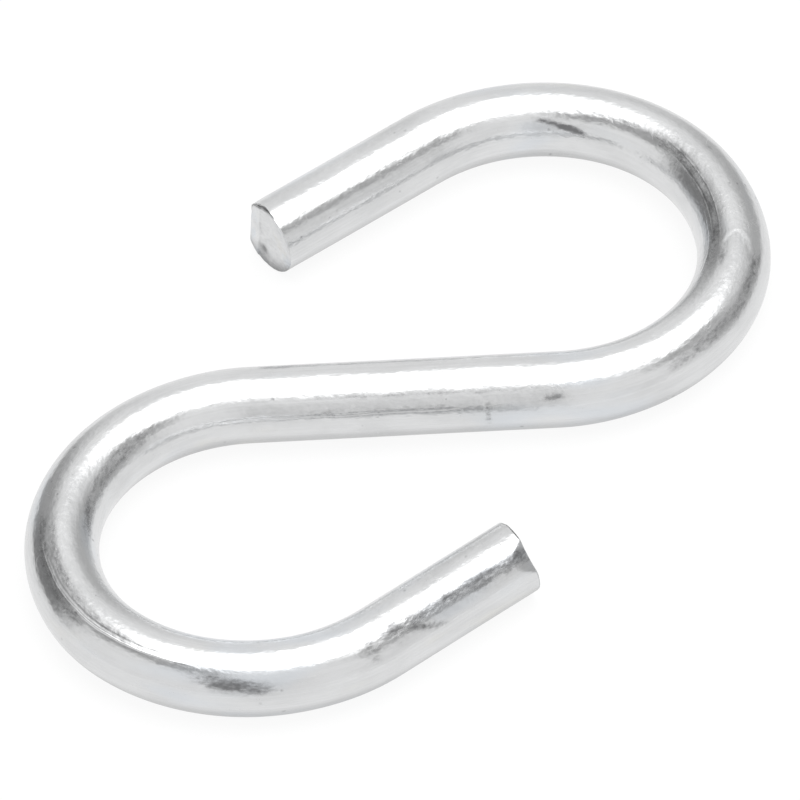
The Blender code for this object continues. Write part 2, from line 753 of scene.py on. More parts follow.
class PlatingClouds(PatternGroup):
    """Uneven zinc: cloudy brightness, and patches where the clear passivation looks blue or straw.

    Attributes:
        blue_offset: How far off the blue patches' noise is taken, so that it differs from the others.
        straw_offset: The same for the straw patches.
    """

    name = "plating_clouds"
    numbers = {"Size": 1.0}
    outputs = ("Clouds", "Blue", "Straw", "Frost")
    blue_offset: tuple[float, float, float] = (37.0, 11.0, 5.0)
    straw_offset: tuple[float, float, float] = (91.0, 47.0, 3.0)

    def draw(self, nodes: Nodes, given: bpy.types.NodeOutputs) -> dict[str, bpy.types.NodeSocket]:
        """Build the clouds and three masks."""
        sizes = nodes.add("ShaderNodeCombineXYZ", dict.fromkeys("XYZ", given["Size"])).outputs[0]
        place = nodes.vector("MULTIPLY", given["Place"], sizes)
        clouds = nodes.stretched_noise(place, (0.10, 0.22, 0.22), 4.0, 0.6)
        blue = nodes.stretched_noise(nodes.vector("ADD", place, self.blue_offset), (0.045, 0.16, 0.16), 2.0)
        straw = nodes.stretched_noise(nodes.vector("ADD", place, self.straw_offset), (0.06, 0.18, 0.18), 2.0)
        frost = nodes.stretched_noise(place, (1.4, 2.4, 2.4), 5.0, 0.7)
        return {"Clouds": clouds, "Blue": nodes.ramp(blue, 0.52, 0.72),
                "Straw": nodes.ramp(straw, 0.60, 0.78), "Frost": frost}


class Pitting(PatternGroup):
    """Small pits in clusters, and more of them where the plating is worn.

    Attributes:
        pit_sizes: Radii of the smallest and the largest pits, in cells.
        wear_gain: How far full wear widens the clusters.
    """

    name = "pitting"
    numbers = {"Wear": 0.0, "Pits": 1.0, "Depth": 1.0}
    outputs = ("Height", "Pits")
    pit_sizes: tuple[float, float] = (0.04, 0.30)
    wear_gain: float = 0.4

    def draw(self, nodes: Nodes, given: bpy.types.NodeOutputs) -> dict[str, bpy.types.NodeSocket]:
        """Build round pits of uneven size and keep those in the clusters."""
        warp = nodes.add("ShaderNodeTexNoise",
                         {"Vector": given["Place"], "Scale": 2.6, "Detail": 2.0}).outputs["Color"]
        bent = nodes.vector("ADD", given["Place"], nodes.vector("MULTIPLY", warp, (0.30, 0.22, 0.22)))
        cells = nodes.add("ShaderNodeTexVoronoi",
                          {"Vector": nodes.vector("MULTIPLY", bent, (0.85, 1.0, 1.0)), "Scale": given["Pits"],
                           "Randomness": 1.0}).outputs
        chance = nodes.add("ShaderNodeSeparateColor", {0: cells["Color"]}).outputs[0]
        size = nodes.ramp(chance, 0.45, 1.0, *self.pit_sizes)
        size = nodes.math("MULTIPLY", size, nodes.math("ADD", 1.0, given["Wear"]))
        pit = nodes.math("SUBTRACT", 1.0, nodes.math("DIVIDE", cells["Distance"], size))
        pit = nodes.ramp(pit, 0.0, 0.75)
        clusters = nodes.stretched_noise(given["Place"], (0.16, 0.30, 0.30), 2.0)
        clusters = nodes.math("ADD", clusters, nodes.math("MULTIPLY", given["Wear"], self.wear_gain))
        pit = nodes.math("MULTIPLY", pit, nodes.ramp(clusters, 0.52, 0.66))
        return {"Height": nodes.sunk(pit, given["Depth"]), "Pits": pit}


class WornAndShadedSpecks(PatternGroup):
    """Worn plating: streaks and specks of darker metal that run together where it is worn most; where the
    wear holds painted shade, they paint that shade.

    Attributes:
        streak_share: Part that the streaks have in the pattern; the specks have the rest.
        wear_gain: How far full wear brings more of it out.
        soonest: How soon, as wear grows, the pattern shows at its full strength.
    """

    name = "worn_and_shaded_specks"
    numbers = {"Wear": 0.0, "Depth": 1.0}
    outputs = ("Height", "Specks")
    streak_share: float = 0.6
    wear_gain: float = 0.28
    soonest: float = 3.0

    def draw(self, nodes: Nodes, given: bpy.types.NodeOutputs) -> dict[str, bpy.types.NodeSocket]:
        """Build uneven specks and let the wear choose how many of them show."""
        streaks = nodes.stretched_noise(given["Place"], (0.40, 1.0, 1.0), 3.0, 0.60)
        fine = nodes.stretched_noise(given["Place"], (1.6, 2.8, 2.8), 3.0)
        uneven = nodes.math("ADD", nodes.math("MULTIPLY", streaks, self.streak_share),
                            nodes.math("MULTIPLY", fine, 1.0 - self.streak_share))
        reached = nodes.math("ADD", uneven, nodes.math("MULTIPLY", given["Wear"], self.wear_gain))
        specks = nodes.ramp(reached, 0.44, 0.86)
        worn_at_all = nodes.math("MINIMUM", nodes.math("MULTIPLY", given["Wear"], self.soonest), 1.0)
        specks = nodes.math("MULTIPLY", specks, worn_at_all)
        return {"Height": nodes.sunk(specks, given["Depth"]), "Specks": specks}


class Scratches(PatternGroup):
    """Thin handling scratches at a slant to the bar.

    Attributes:
        sets: Slant in radians of each set of scratches, and how far off its noise is taken.
        line_width: How wide the lines are drawn, in the noise's own values.
    """

    name = "handling_scratches"
    numbers = {"Depth": 1.0}
    outputs = ("Height", "Scratches")
    sets: tuple[tuple[float, float], ...] = ((0.55, 0.0), (-0.9, 23.0))
    line_width: float = 0.010

    def draw(self, nodes: Nodes, given: bpy.types.NodeOutputs) -> dict[str, bpy.types.NodeSocket]:
        """Build thin lines at two slants, broken into short strokes."""
        total: bpy.types.NodeSocket | None = None
        for slant, offset in self.sets:
            turned = nodes.add("ShaderNodeMapping",
                               {"Vector": given["Place"], "Location": (offset, offset, 0.0),
                                "Rotation": (slant * 0.6, slant, slant * 1.3)}).outputs[0]
            strokes = nodes.stretched_noise(turned, (0.06, 1.3, 1.3), 0.0)
            line = nodes.math("ABSOLUTE", nodes.math("SUBTRACT", strokes, 0.5))
            line = nodes.ramp(line, self.line_width, 0.0)
            broken = nodes.ramp(nodes.stretched_noise(turned, (0.11, 0.35, 0.35), 1.0), 0.58, 0.68)
            stroke = nodes.math("MULTIPLY", line, broken)
            total = stroke if total is None else nodes.math("MAXIMUM", total, stroke)
        return {"Height": nodes.sunk(total, given["Depth"]), "Scratches": total}


class DieLine(PatternGroup):
    """One groove along the bar, between two distances and at one angle round it.

    Attributes:
        waver: How far the groove wanders round the bar, in degrees.
        fade: Length over which each end runs out, in millimetres.
    """

    name = "die_line"
    numbers = {"Start": 0.0, "End": 1.0, "Side": 0.0, "Width": 0.1, "Depth": 0.01}
    outputs = ("Height",)
    waver: float = 5.0
    fade: float = 4.0

    def draw(self, nodes: Nodes, given: bpy.types.NodeOutputs) -> dict[str, bpy.types.NodeSocket]:
        """Build a wavering groove that fades in and out."""
        parts = nodes.add("ShaderNodeSeparateXYZ", {0: given["Place"]}).outputs
        angle = nodes.math("DEGREES", nodes.math("ARCTAN2", parts["Z"], parts["Y"]))
        waver = nodes.stretched_noise(given["Place"], (0.16, 0.05, 0.05), 2.0)
        wander = nodes.math("MULTIPLY", nodes.math("SUBTRACT", waver, 0.5), self.waver)
        off = nodes.turn_off(nodes.math("ADD", angle, wander), given["Side"])
        groove = nodes.ramp(off, given["Width"], 0.0)
        into = nodes.math("SUBTRACT", parts["X"], given["Start"])
        left = nodes.math("SUBTRACT", given["End"], parts["X"])
        shown = nodes.math("MULTIPLY", nodes.ramp(into, 0.0, self.fade), nodes.ramp(left, 0.0, self.fade))
        return {"Height": nodes.sunk(nodes.math("MULTIPLY", groove, shown), given["Depth"])}


@dataclass(frozen=True)
class Line:
    """A groove along the bar, in millimetres and degrees.

    Attributes:
        start: Where it starts along the bar.
        end: Where it ends.
        side: Angle round the bar.
        width: Half its width, in degrees.
        depth: How deep it is; a ridge's is negative.
    """

    start: float
    end: float
    side: float
    width: float
    depth: float


# ---------------------------------------------------------------------------------------------------
# Finishes


@dataclass(frozen=True)
class ZincFinish:
    """Bright zinc plating on the steel bar.

    Attributes:
        name: The material's name.
        bright: Colour of clean plating.
        dull: Colour of cloudy or worn plating.
        blue: Colour where the passivation looks blue.
        straw: Colour where it looks straw.
        worn: Colour of worn specks, which also paint shade, and of pits.
        gloss: Roughness of the smoothest plating.
        satin: Roughness of the cloudiest plating.
        grain_depth: Height of the drawn lines, in millimetres.
        wave_depth: Height of the skin's waves, in millimetres.
        speck_depth: Depth of the worn specks, in millimetres.
        pit_depth: Depth of the pits, in millimetres.
        scratch_depth: Depth of the scratches, in millimetres.
        roughened: Roughness that the drawn lines, the worn specks and the scratches add.
        dulled: How far the clouds and the drawn lines take the colour towards dull.
        tinted: How far the blue and the straw patches take it towards their colours.
        pit_share: How dark a pit is beside a worn speck.
        wear_and_shade_share: How far a worn speck takes it towards its own colour, painted shade included.
        lines: Single grooves along the bar.
    """

    name: str
    bright: tuple[float, float, float, float] = (0.79, 0.795, 0.80, 1.0)
    dull: tuple[float, float, float, float] = (0.63, 0.635, 0.64, 1.0)
    blue: tuple[float, float, float, float] = (0.70, 0.745, 0.80, 1.0)
    straw: tuple[float, float, float, float] = (0.79, 0.775, 0.71, 1.0)
    worn: tuple[float, float, float, float] = (0.16, 0.16, 0.165, 1.0)
    gloss: float = 0.13
    satin: float = 0.25
    grain_depth: float = 0.0030
    wave_depth: float = 0.040
    speck_depth: float = 0.007
    pit_depth: float = 0.014
    scratch_depth: float = 0.004
    roughened: tuple[float, float, float] = (0.035, 0.14, 0.12)
    dulled: tuple[float, float] = (0.5, 0.22)
    tinted: tuple[float, float] = (0.5, 0.4)
    pit_share: float = 0.5
    wear_and_shade_share: float = 0.9
    lines: tuple[Line, ...] = ()

    def material(self) -> bpy.types.Material:
        """Build the finish as a material."""
        made = bpy.data.materials.new(self.name)
        made.use_nodes = True
        nodes = Nodes(made.node_tree)
        shader = made.node_tree.nodes["Principled BSDF"]
        shader.inputs["Metallic"].default_value = 1.0
        # The wear attribute carries wear and painted shade.
        wear = nodes.add("ShaderNodeAttribute", attribute_name=Reading.WEAR.value).outputs["Fac"]
        colour, rough, normal = self.surface(nodes, self.place(nodes), wear)
        nodes.feed(shader.inputs["Base Color"], colour)
        nodes.feed(shader.inputs["Roughness"], rough)
        nodes.feed(shader.inputs["Normal"], normal)
        return made

    def surface(self, nodes: Nodes, place: bpy.types.NodeSocket,
                wear: bpy.types.NodeSocket) -> tuple[bpy.types.NodeSocket, ...]:
        """Lay the patterns over each other.

        Args:
            nodes: Adds nodes to the material.
            place: The place in millimetres of bar space.
            wear: How worn the plating is, painted shade included.

        Returns:
            The colour, the roughness and the normal.
        """
        clouds = PlatingClouds().use(nodes, place)
        grain = DrawnGrain().use(nodes, place, Depth=self.grain_depth)
        pits = Pitting().use(nodes, place, Wear=wear, Depth=self.pit_depth)
        specks = WornAndShadedSpecks().use(nodes, place, Wear=wear, Depth=self.speck_depth)
        scratches = Scratches().use(nodes, place, Depth=self.scratch_depth)
        dark = nodes.math("MAXIMUM", nodes.math("MULTIPLY", pits["Pits"], self.pit_share), specks["Specks"])
        rough = self.base_rough(nodes, clouds)
        masks = (grain["Lines"], specks["Specks"], scratches["Scratches"])
        for mask, added in zip(masks, self.roughened):
            rough = nodes.math("ADD", rough, nodes.math("MULTIPLY", mask, added))
        heights = [WavySkin().use(nodes, place, Depth=self.wave_depth)["Height"], grain["Height"],
                   pits["Height"], specks["Height"], scratches["Height"], *self.grooves(nodes, place)]
        return self.colour(nodes, clouds, grain["Lines"], dark), rough, self.bump(nodes, heights)

    def base_rough(self, nodes: Nodes, clouds: bpy.types.NodeOutputs) -> bpy.types.NodeSocket:
        """Return the roughness of plating without marks."""
        return nodes.ramp(clouds["Frost"], 0.30, 0.72, self.gloss, self.satin)

    @staticmethod
    def place(nodes: Nodes) -> bpy.types.NodeSocket:
        """Return the place in millimetres of bar space."""
        stored = nodes.add("ShaderNodeAttribute", attribute_name=Reading.BAR_SPACE.value).outputs["Vector"]
        return nodes.vector("MULTIPLY", stored, (1.0 / MM,) * 3)

    def colour(self, nodes: Nodes, clouds: bpy.types.NodeOutputs, lines: object,
               dark: bpy.types.NodeSocket) -> bpy.types.NodeSocket:
        """Return the plating's colour.

        Args:
            nodes: Adds nodes to the material.
            clouds: The plating clouds' outputs.
            lines: Where the drawn lines are.
            dark: Where worn specks, painted shade and pits are.
        """
        by_clouds, by_lines = self.dulled
        dullness = nodes.math("ADD", nodes.ramp(clouds["Clouds"], 0.35, 0.75, 0.0, by_clouds),
                              nodes.math("MULTIPLY", lines, by_lines))
        colour = nodes.mix(dullness, self.bright, self.dull)
        blue_share, straw_share = self.tinted
        colour = nodes.mix(nodes.math("MULTIPLY", clouds["Blue"], blue_share), colour, self.blue)
        colour = nodes.mix(nodes.math("MULTIPLY", clouds["Straw"], straw_share), colour, self.straw)
        # Painted shade and wear: the worn colour darkens the specks, the pits and the painted-shade bands and
        # spots.
        return nodes.mix(nodes.math("MULTIPLY", dark, self.wear_and_shade_share), colour, self.worn)

    def grooves(self, nodes: Nodes, place: bpy.types.NodeSocket) -> list[bpy.types.NodeSocket]:
        """Return the heights of the single grooves."""
        return [DieLine().use(nodes, place, Start=line.start, End=line.end, Side=line.side,
                              Width=line.width, Depth=line.depth)["Height"] for line in self.lines]

    @staticmethod
    def bump(nodes: Nodes, heights: list[bpy.types.NodeSocket]) -> bpy.types.NodeSocket:
        """Add heights in millimetres up and return the normal that they make."""
        total = heights[0]
        for height in heights[1:]:
            total = nodes.math("ADD", total, height)
        bump = nodes.add("ShaderNodeBump", {"Height": total, "Strength": 1.0, "Distance": MM})
        return bump.outputs["Normal"]


@dataclass(frozen=True)
class ShearedZincFinish(ZincFinish):
    """The same plating over the rough face that the shear left.

    Attributes:
        tear_depth: Height of the torn grain, in millimetres.
        unevenness: How unevenly the tarnish lies.
        tarnished: How dark the dullest part is, painted shade included.
        dull_rough: Roughness that the tarnish adds.
    """

    tear_depth: float = 0.05
    unevenness: float = 0.7
    tarnished: float = 0.75
    dull_rough: float = 0.15

    def tears(self, nodes: Nodes, place: bpy.types.NodeSocket) -> bpy.types.NodeSocket:
        """Return the height of the torn grain."""
        coarse = nodes.stretched_noise(place, (1.2, 1.1, 2.6), 5.0, 0.6)
        fine = nodes.stretched_noise(place, (5.0, 4.0, 9.0), 4.0, 0.6)
        both = nodes.math("ADD", coarse, nodes.math("MULTIPLY", fine, 0.25))
        return nodes.math("MULTIPLY", both, self.tear_depth)

    def surface(self, nodes: Nodes, place: bpy.types.NodeSocket,
                wear: bpy.types.NodeSocket) -> tuple[bpy.types.NodeSocket, ...]:
        """Lay the torn grain, tarnish and pits over each other.

        Args:
            nodes: Adds nodes to the material.
            place: The place in millimetres of bar space.
            wear: How dull the face is, with painted shade along the rubbed part's edge and on its lower rim.

        Returns:
            The colour, the roughness and the normal.
        """
        clouds = PlatingClouds().use(nodes, place, Size=2.5)
        pits = Pitting().use(nodes, place, Wear=0.3, Pits=2.0, Depth=self.pit_depth)
        uneven = nodes.math("SUBTRACT", nodes.stretched_noise(place, (1.5, 1.3, 2.8), 4.0, 0.6), 0.5)
        dull = nodes.math("ADD", wear, nodes.math("MULTIPLY", uneven, self.unevenness))
        # Tarnish and painted shade darken the face here.
        dark = nodes.math("MAXIMUM", nodes.ramp(dull, 0.12, 1.05, 0.0, self.tarnished),
                          nodes.math("MULTIPLY", pits["Pits"], self.pit_share))
        rough = nodes.math("ADD", self.base_rough(nodes, clouds),
                           nodes.math("MULTIPLY", wear, self.dull_rough))
        torn = nodes.math("MULTIPLY", self.tears(nodes, place), nodes.ramp(wear, 0.0, 0.4, 0.2, 1.0))
        return self.colour(nodes, clouds, 0.0, dark), rough, self.bump(nodes, [torn, pits["Height"]])


# ---------------------------------------------------------------------------------------------------
# The hook


@dataclass
class HookBar:
    """The hook's one piece: a sheared length of round bar, bent into an S and plated.

    Attributes:
        diameter: Diameter of the bar.
        sides: Points round the bar.
        main_rings: Rings along the bar between its two ends.
        end_zone: Length of each end that has closer rings.
        end_rings: Rings in each end zone.
        rim_rings: Rings in each cut face's rim zone.
        rim_zone: Width of that zone.
        face_rings: Rings inside it, up to the face's middle.
        flattening: Share by which a bend narrows the bar in the plane of the S.
        flattening_fade: Length over which that builds up.
        sway: Height of the bar's long unevenness.
        sway_waves: Waves per metre in that, along the bar and across it.
        hitch_end: The cut at the hitch point.
        chain_end: The cut at the chain point.
        marks: The tool marks, bands of wear and painted shade, and dents, some with painted shade.
        route: The route that the bar is bent to.
    """

    diameter: float = 9.525 * MM
    sides: int = 96
    main_rings: int = 800
    end_zone: float = 6.0 * MM
    end_rings: int = 44
    rim_rings: int = 9
    rim_zone: float = 0.63 * MM
    face_rings: int = 15
    flattening: float = 0.030
    flattening_fade: float = 12.0 * MM
    sway: float = 0.018 * MM
    sway_waves: tuple[float, float] = (60.0, 110.0)
    hitch_end: ShearedEnd = ShearedEnd(
        blade_side=6.0, flat_depth=1.32 * MM, flat_length=5.5 * MM, reach=0.46 * MM)
    chain_end: ShearedEnd = ShearedEnd(
        blade_side=137.0, flat_depth=0.60 * MM, flat_length=3.3 * MM, reach=-0.14 * MM,
        lean=(-0.145, 0.130), burnish_slope=0.0, roll=0.12 * MM, roll_side=104.0,
        chip=(-0.30, -0.38), chip_depth=0.09 * MM)
    marks: tuple[Mark, ...] = (
        # The bands lie on the dark reflection bands beside the highlight: partly wear, partly painted shade.
        WornAndShadedBand(240.0 * MM, 272.0 * MM, 118.0, 134.0, 12.0, 0.58),
        WornAndShadedBand(187.0 * MM, 208.0 * MM, 115.0, 131.0, 8.0, 0.40),
        WornAndShadedBand(187.0 * MM, 217.0 * MM, 97.0, 117.0, 7.0, 0.32),
        WornAndShadedBand(166.0 * MM, 194.0 * MM, 46.0, 44.0, 10.0, 0.42),
        WornAndShadedBand(42.0 * MM, 62.0 * MM, 117.0, 117.0, 5.0, 0.24),
        WornAndShadedBand(56.0 * MM, 89.0 * MM, 115.0, 122.0, 10.0, 0.44),
        WornAndShadedBand(80.0 * MM, 104.0 * MM, 48.0, 34.0, 10.0, 0.38),
        # Painted shade: a thin dark line along the highlight's edge on the shank.
        WornAndShadedBand(112.0 * MM, 148.0 * MM, 47.0, 50.0, 4.0, 0.28),
        WornAndShadedBand(124.5 * MM, 152.0 * MM, 27.0, 30.0, 5.0, 0.20),
        PressedFlat(240.0 * MM, 262.0 * MM, 128.0, 0.040 * MM),
        PressedFlat(190.0 * MM, 221.0 * MM, 110.0, 0.030 * MM),
        PressedFlat(58.0 * MM, 92.0 * MM, 116.0, 0.030 * MM),
        KinkMark(79.5 * MM, 84.0, 25.0, 2.6 * MM, 0.055 * MM, 3.0 * MM),
        Dent(84.6 * MM, 101.0, 1.6 * MM, 8.0, 0.03 * MM, 0.45),
        Dent(64.7 * MM, 69.0, 0.45 * MM, 4.0, 0.05 * MM, 0.2),
        Dent(123.8 * MM, 14.0, 0.35 * MM, 17.0, 0.05 * MM, 0.5),
        # Painted shade: these two dents' wear darkens the dark reflections in flattened spots at the top
        # bend.
        Dent(42.0 * MM, 141.0, 1.7 * MM, 3.0, 0.03 * MM, 1.3, 1900.0),
        Dent(45.2 * MM, 149.0, 2.1 * MM, 3.8, 0.03 * MM, 1.6, 1900.0),
        # Painted shade: a dark reflection patch in a flattened spot of the lower bend.
        Dent(225.2 * MM, 146.0, 3.3 * MM, 9.0, 0.02 * MM, 0.88, 1800.0),
        Dent(221.7 * MM, 111.0, 0.9 * MM, 6.0, 0.01 * MM, 0.3),
        # These two deepen the lower arm's band: partly scuffs, partly painted shade.
        Dent(241.0 * MM, 132.0, 0.8 * MM, 18.0, 0.05 * MM, 0.4),
        Dent(248.3 * MM, 143.0, 2.6 * MM, 5.0, 0.02 * MM, 0.65, 4500.0),
        Dent(115.7 * MM, 34.0, 1.3 * MM, 5.0, 0.015 * MM, 0.6, -2500.0),
    )
    route: Centreline = field(default_factory=Centreline)

    @property
    def radius(self) -> float:
        """Radius of the bar."""
        return self.diameter / 2

    def build(self) -> bpy.types.Object:
        """Make the finished bar.

        Returns:
            The bar's object, at the origin, with its place in its mesh.
        """
        self.route.settle(self.radius)
        bm = self.straight_bar()
        self.cut_faces(bm)
        self.work(bm)
        bmesh.ops.recalc_face_normals(bm, faces=bm.faces)
        mesh = bpy.data.meshes.new(f"{PART}_bar")
        bm.to_mesh(mesh)
        bm.free()
        mesh.shade_smooth()
        bar = bpy.data.objects.new(f"{PART}_bar", mesh)
        bpy.context.scene.collection.objects.link(bar)
        return bar

    def straight_bar(self) -> bmesh.types.BMesh:
        """Extrude the bar along X, from a circle, in zones, with closer rings at its ends.

        The circle stays as the first end. A wall that is left between two zones is deleted.

        Returns:
            The bar, with a flat face of all its sides at each end.
        """
        bm = bmesh.new()
        bmesh.ops.create_circle(bm, cap_ends=True, segments=self.sides, radius=self.radius,
                                matrix=Matrix.Rotation(math.radians(90.0), 4, "Y"))
        length = self.route.length
        zones = ((self.end_zone, self.end_rings), (length - 2 * self.end_zone, self.main_rings),
                 (self.end_zone, self.end_rings))
        cap = bm.faces[:][0]
        for number, (zone_length, rings) in enumerate(zones):
            made = bmesh.ops.extrude_face_region(bm, geom=[cap])["geom"]
            moved = [item for item in made if isinstance(item, bmesh.types.BMVert)]
            bmesh.ops.translate(bm, verts=moved, vec=(zone_length, 0.0, 0.0))
            if cap.is_valid and number:
                bmesh.ops.delete(bm, geom=[cap], context="FACES_ONLY")
            cap = next(item for item in made if isinstance(item, bmesh.types.BMFace))
            near = set(moved)
            along = [edge for vert in moved for edge in vert.link_edges if not set(edge.verts) <= near]
            bmesh.ops.subdivide_edges(bm, edges=along, cuts=rings - 1, use_grid_fill=True)
        return bm

    def cut_faces(self, bm: bmesh.types.BMesh) -> None:
        """Give each flat end rings of faces round a middle point."""
        caps = [face for face in bm.faces if len(face.verts) == self.sides]
        steps = [self.rim_zone / self.rim_rings] * self.rim_rings
        steps += [(self.radius - self.rim_zone) / self.face_rings] * (self.face_rings - 1)
        for cap in caps:
            for step in steps:
                made = bmesh.ops.inset_region(bm, faces=[cap], thickness=step, use_even_offset=True)
                for face in made["faces"]:
                    face.material_index = Surface.CUT.value
            cap.material_index = Surface.CUT.value
            bmesh.ops.poke(bm, faces=[cap])

    def work(self, bm: bmesh.types.BMesh) -> None:
        """Shape the straight bar's points and then bend it."""
        bar_space = bm.verts.layers.float_vector.new(Reading.BAR_SPACE.value)
        # Wear per point, which also holds the painted shade of the marks and of the cut faces.
        wear = bm.verts.layers.float.new(Reading.WEAR.value)
        for vert in bm.verts:
            vert[bar_space] = vert.co
            shaped, vert[wear] = self.shaped(vert.co.x, Vector((vert.co.y, vert.co.z)))
            vert.co = self.bent(shaped, *self.route.at(shaped.x))

    def shaped(self, along: float, across: Vector) -> tuple[Vector, float]:
        """Work one point of the straight bar.

        Args:
            along: Distance along the bar.
            across: Place in its section, left and up.

        Returns:
            The worked point, and how worn the plating is there, painted shade included.
        """
        around = math.degrees(math.atan2(across.y, across.x))
        share = across.length / self.radius
        waves_along, waves_across = self.sway_waves
        spot = Vector((along * waves_along, across.x * waves_across, across.y * waves_across))
        change = self.sway * noise.noise(spot)
        worn = 0.0
        for mark in self.marks:
            change += mark.press(along, around, self.radius)
            worn = max(worn, mark.worn(along, around))
        for end, depth_in, outward in ((self.hitch_end, along, -1.0),
                                       (self.chain_end, self.route.length - along, 1.0)):
            if depth_in > self.end_zone:
                continue
            change += end.flattened(depth_in, around, self.radius)
            from_rim = self.radius * (1.0 - share)
            face_in = end.cut_back(across, self.radius)
            fade = (1.0 - depth_in / self.end_zone) ** 2
            along -= outward * face_in * fade
            if depth_in < TOUCHING:
                along -= outward * end.rounded(from_rim, around)
                # The cut face's tarnish, with its painted shade.
                worn = end.tarnish(across, self.radius)
        scale = 1.0 + change * share / self.radius
        return Vector((along, across.x * scale, across.y * scale)), worn

    def bent(self, shaped: Vector, place: Vector, heading: float) -> Vector:
        """Put a worked point of the straight bar on the bent one.

        Args:
            shaped: The point on the straight bar.
            place: The centreline's place at its distance.
            heading: The centreline's heading there, in degrees.

        Returns:
            The point on the hook.
        """
        left = Vector((-math.sin(math.radians(heading)), math.cos(math.radians(heading)), 0.0))
        narrowed = 1.0 - self.flattening * self.route.bend_share(shaped.x, self.flattening_fade)
        return place + left * (shaped.y * narrowed) + Vector((0.0, 0.0, shaped.z))

    def dress(self, bar: bpy.types.Object) -> None:
        """Give the bar its finishes, in the order of Surface."""
        skin = ZincFinish("drawn_zinc", lines=(
            Line(192.0, 221.0, 120.5, 2.4, -0.035), Line(194.0, 220.0, 114.5, 3.4, 0.022),
            Line(58.0, 88.0, 124.0, 2.4, 0.020), Line(60.0, 84.0, 112.0, 2.2, -0.016),
            Line(66.0, 90.0, 131.0, 2.6, -0.016), Line(126.0, 160.0, 23.0, 3.6, 0.020)))
        cut = ShearedZincFinish("sheared_zinc", gloss=0.24, satin=0.40, pit_depth=0.03)
        finishes = {Surface.SKIN: skin, Surface.CUT: cut}
        for surface in Surface:
            bar.data.materials.append(finishes[surface].material())


# ---------------------------------------------------------------------------------------------------
# Studio


@dataclass(frozen=True)
class Panel:
    """A soft-edged panel of the studio, seen from the hook.

    Attributes:
        azimuth: Direction from the hook, in degrees to the right of straight away from the camera.
        elevation: Height above the horizon, in degrees.
        half_width: Half its width, in degrees of azimuth.
        half_height: Half its height, in degrees.
        tone: How bright it is.
        softness: Share of its half sizes over which it fades out.
    """

    azimuth: float
    elevation: float
    half_width: float
    half_height: float
    tone: float
    softness: float = 0.5


